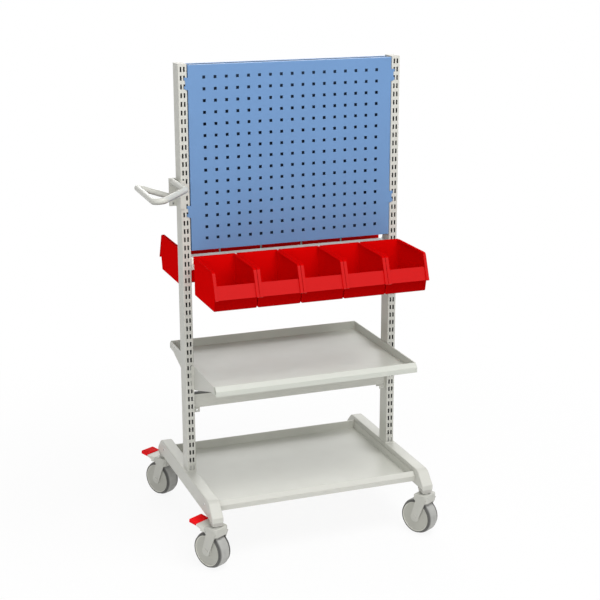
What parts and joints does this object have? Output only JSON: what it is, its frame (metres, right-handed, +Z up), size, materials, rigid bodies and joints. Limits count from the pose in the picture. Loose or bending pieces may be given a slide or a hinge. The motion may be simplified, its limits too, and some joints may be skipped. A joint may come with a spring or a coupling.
{
  "type": "utility trolley",
  "caption": "Wheeled workshop trolley with perforated panels between slotted uprights, rows of open-fronted bins, a shelf tray, a base tray, a side handle and braked castors.",
  "frame": {"origin": "on the floor, under the middle of the frame, halfway between the uprights", "axes": "+X to the right seen from the front, +Y to the rear, +Z up"},
  "size_m": [0.9752, 0.795, 1.6305],
  "materials": {
    "frame_grey": "satin powder coat",
    "panel_blue": "satin powder coat",
    "handle_metal": "satin powder coat",
    "bin_red": "satin",
    "cap_plastic": "matte",
    "steel": "zinc plated",
    "fork_metal": "satin",
    "wheel_plastic": "matte",
    "tyre_rubber": "matte",
    "pedal_red": "satin"
  },
  "bodies": {
    "frame": {"left_upright": "frame_grey", "right_upright": "frame_grey", "upright_caps": "cap_plastic", "upright_spigots": "steel", "left_foot": "frame_grey", "right_foot": "frame_grey", "foot_end_caps": "cap_plastic", "tray_screws": "steel", "front_panel": "panel_blue", "rear_panel": "panel_blue", "bin_beam": "frame_grey", "front_bin_rail": "frame_grey", "rear_bin_rail": "frame_grey", "rail_screws": "steel", "shelf_tray": "frame_grey", "base_tray": "frame_grey", "left_front_shelf_bracket": "frame_grey", "right_front_shelf_bracket": "frame_grey", "left_rear_shelf_bracket": "frame_grey", "right_rear_shelf_bracket": "frame_grey", "cross_beam": "frame_grey", "beam_brackets": "frame_grey", "beam_screws": "steel", "handle_tube": "handle_metal", "handle_bracket": "frame_grey", "handle_clamp": "frame_grey", "handle_screw": "steel", "castor_stems": "steel"},
    "front_left_castor": {"front_left_fork": "fork_metal", "front_left_axle": "steel", "front_left_pin": "steel"},
    "front_left_wheel": {"front_left_wheel": "wheel_plastic", "front_left_tyre": "tyre_rubber"},
    "front_left_brake": {"front_left_pedal": "fork_metal", "front_left_tread": "pedal_red"},
    "front_right_castor": {"front_right_fork": "fork_metal", "front_right_axle": "steel"},
    "front_right_wheel": {"front_right_wheel": "wheel_plastic", "front_right_tyre": "tyre_rubber"},
    "rear_left_castor": {"rear_left_fork": "fork_metal", "rear_left_axle": "steel", "rear_left_pin": "steel"},
    "rear_left_wheel": {"rear_left_wheel": "wheel_plastic", "rear_left_tyre": "tyre_rubber"},
    "rear_left_brake": {"rear_left_pedal": "fork_metal", "rear_left_tread": "pedal_red"},
    "rear_right_castor": {"rear_right_fork": "fork_metal", "rear_right_axle": "steel"},
    "rear_right_wheel": {"rear_right_wheel": "wheel_plastic", "rear_right_tyre": "tyre_rubber"},
    "front_bin_1": {"front_bin_1": "bin_red"},
    "front_bin_2": {"front_bin_2": "bin_red"},
    "front_bin_3": {"front_bin_3": "bin_red"},
    "front_bin_4": {"front_bin_4": "bin_red"},
    "front_bin_5": {"front_bin_5": "bin_red"},
    "rear_bin_1": {"rear_bin_1": "bin_red"},
    "rear_bin_2": {"rear_bin_2": "bin_red"},
    "rear_bin_3": {"rear_bin_3": "bin_red"},
    "rear_bin_4": {"rear_bin_4": "bin_red"},
    "rear_bin_5": {"rear_bin_5": "bin_red"}
  },
  "joints": [
    {"name": "front_left_swivel", "type": "hinge", "parent": "frame", "child": "front_left_castor", "pos_m": [-0.38, -0.324, 0.146], "axis": [0, 0, 1], "continuous": true},
    {"name": "front_left_roll", "type": "hinge", "parent": "front_left_castor", "child": "front_left_wheel", "pos_m": [-0.38954, -0.30642, 0.0625], "axis": [0.8788, 0.4772, 0], "continuous": true},
    {"name": "front_left_brake_press", "type": "hinge", "parent": "front_left_castor", "child": "front_left_brake", "pos_m": [-0.38859, -0.30818, 0.1335], "axis": [-0.8788, -0.4772, 0], "range_deg": [0, 12]},
    {"name": "front_right_swivel", "type": "hinge", "parent": "frame", "child": "front_right_castor", "pos_m": [0.38, -0.324, 0.146], "axis": [0, 0, 1], "continuous": true},
    {"name": "front_right_roll", "type": "hinge", "parent": "front_right_castor", "child": "front_right_wheel", "pos_m": [0.37046, -0.30642, 0.0625], "axis": [0.8788, 0.4772, 0], "continuous": true},
    {"name": "rear_left_swivel", "type": "hinge", "parent": "frame", "child": "rear_left_castor", "pos_m": [-0.38, 0.324, 0.146], "axis": [0, 0, 1], "continuous": true},
    {"name": "rear_left_roll", "type": "hinge", "parent": "rear_left_castor", "child": "rear_left_wheel", "pos_m": [-0.38954, 0.34158, 0.0625], "axis": [0.8788, 0.4772, 0], "continuous": true},
    {"name": "rear_left_brake_press", "type": "hinge", "parent": "rear_left_castor", "child": "rear_left_brake", "pos_m": [-0.38859, 0.33982, 0.1335], "axis": [-0.8788, -0.4772, 0], "range_deg": [0, 12]},
    {"name": "rear_right_swivel", "type": "hinge", "parent": "frame", "child": "rear_right_castor", "pos_m": [0.38, 0.324, 0.146], "axis": [0, 0, 1], "continuous": true},
    {"name": "rear_right_roll", "type": "hinge", "parent": "rear_right_castor", "child": "rear_right_wheel", "pos_m": [0.37046, 0.34158, 0.0625], "axis": [0.8788, 0.4772, 0], "continuous": true},
    {"name": "front_bin_1_lift", "type": "slide", "parent": "frame", "child": "front_bin_1", "axis": [0, 0, 1], "range_m": [0, 0.14]},
    {"name": "front_bin_2_lift", "type": "slide", "parent": "frame", "child": "front_bin_2", "axis": [0, 0, 1], "range_m": [0, 0.14]},
    {"name": "front_bin_3_lift", "type": "slide", "parent": "frame", "child": "front_bin_3", "axis": [0, 0, 1], "range_m": [0, 0.14]},
    {"name": "front_bin_4_lift", "type": "slide", "parent": "frame", "child": "front_bin_4", "axis": [0, 0, 1], "range_m": [0, 0.14]},
    {"name": "front_bin_5_lift", "type": "slide", "parent": "frame", "child": "front_bin_5", "axis": [0, 0, 1], "range_m": [0, 0.14]},
    {"name": "rear_bin_1_lift", "type": "slide", "parent": "frame", "child": "rear_bin_1", "axis": [0, 0, 1], "range_m": [0, 0.14]},
    {"name": "rear_bin_2_lift", "type": "slide", "parent": "frame", "child": "rear_bin_2", "axis": [0, 0, 1], "range_m": [0, 0.14]},
    {"name": "rear_bin_3_lift", "type": "slide", "parent": "frame", "child": "rear_bin_3", "axis": [0, 0, 1], "range_m": [0, 0.14]},
    {"name": "rear_bin_4_lift", "type": "slide", "parent": "frame", "child": "rear_bin_4", "axis": [0, 0, 1], "range_m": [0, 0.14]},
    {"name": "rear_bin_5_lift", "type": "slide", "parent": "frame", "child": "rear_bin_5", "axis": [0, 0, 1], "range_m": [0, 0.14]}
  ]
}
